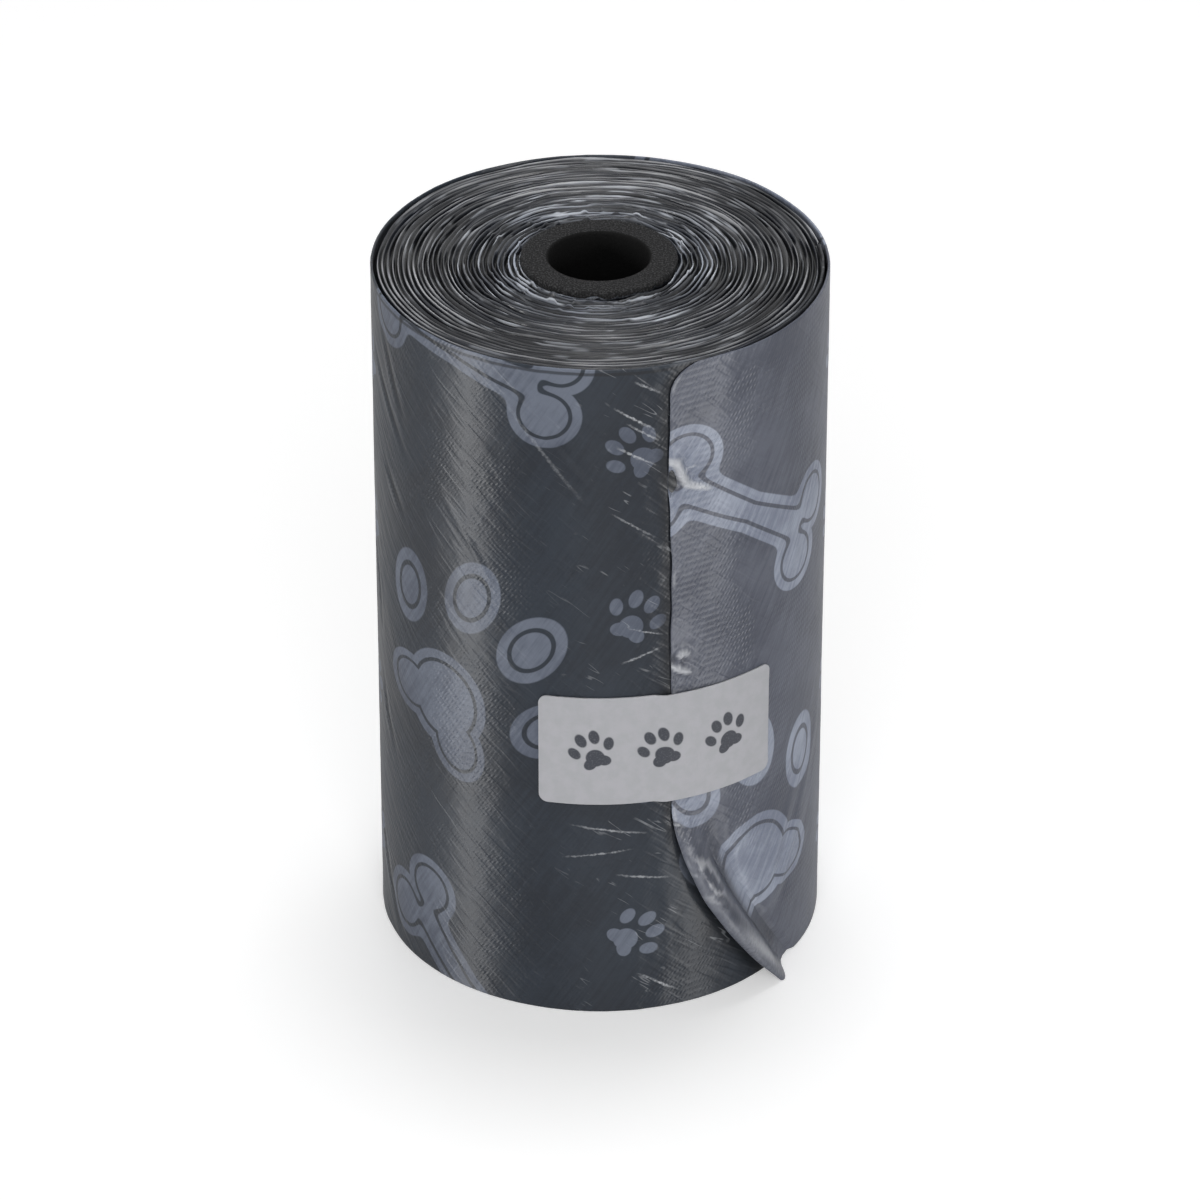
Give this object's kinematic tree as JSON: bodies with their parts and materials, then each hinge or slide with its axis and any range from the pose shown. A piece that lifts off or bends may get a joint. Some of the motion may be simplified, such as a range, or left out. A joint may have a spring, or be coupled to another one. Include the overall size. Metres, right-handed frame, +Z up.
{
  "type": "roll of dog poop bags",
  "caption": "Roll of folded film bags wound on an open core tube, with a loose tail held down by a paper seal label.",
  "frame": {"origin": "centre of the roll's foot, on the axis of the core tube", "axes": "+Z up along the axis of the core tube, -Y to the front where the seal label is, +X to the right as seen from the front"},
  "size_m": [0.0364, 0.0364, 0.0603],
  "materials": {
    "film": "thin slate grey film with a soft gloss and a large pale print",
    "core": "matte charcoal tube with a fine speckle",
    "label": "matte pale grey paper"
  },
  "bodies": {
    "root": {"core_tube": "core", "bag_roll": "film", "seal_label": "label"}
  },
  "joints": []
}
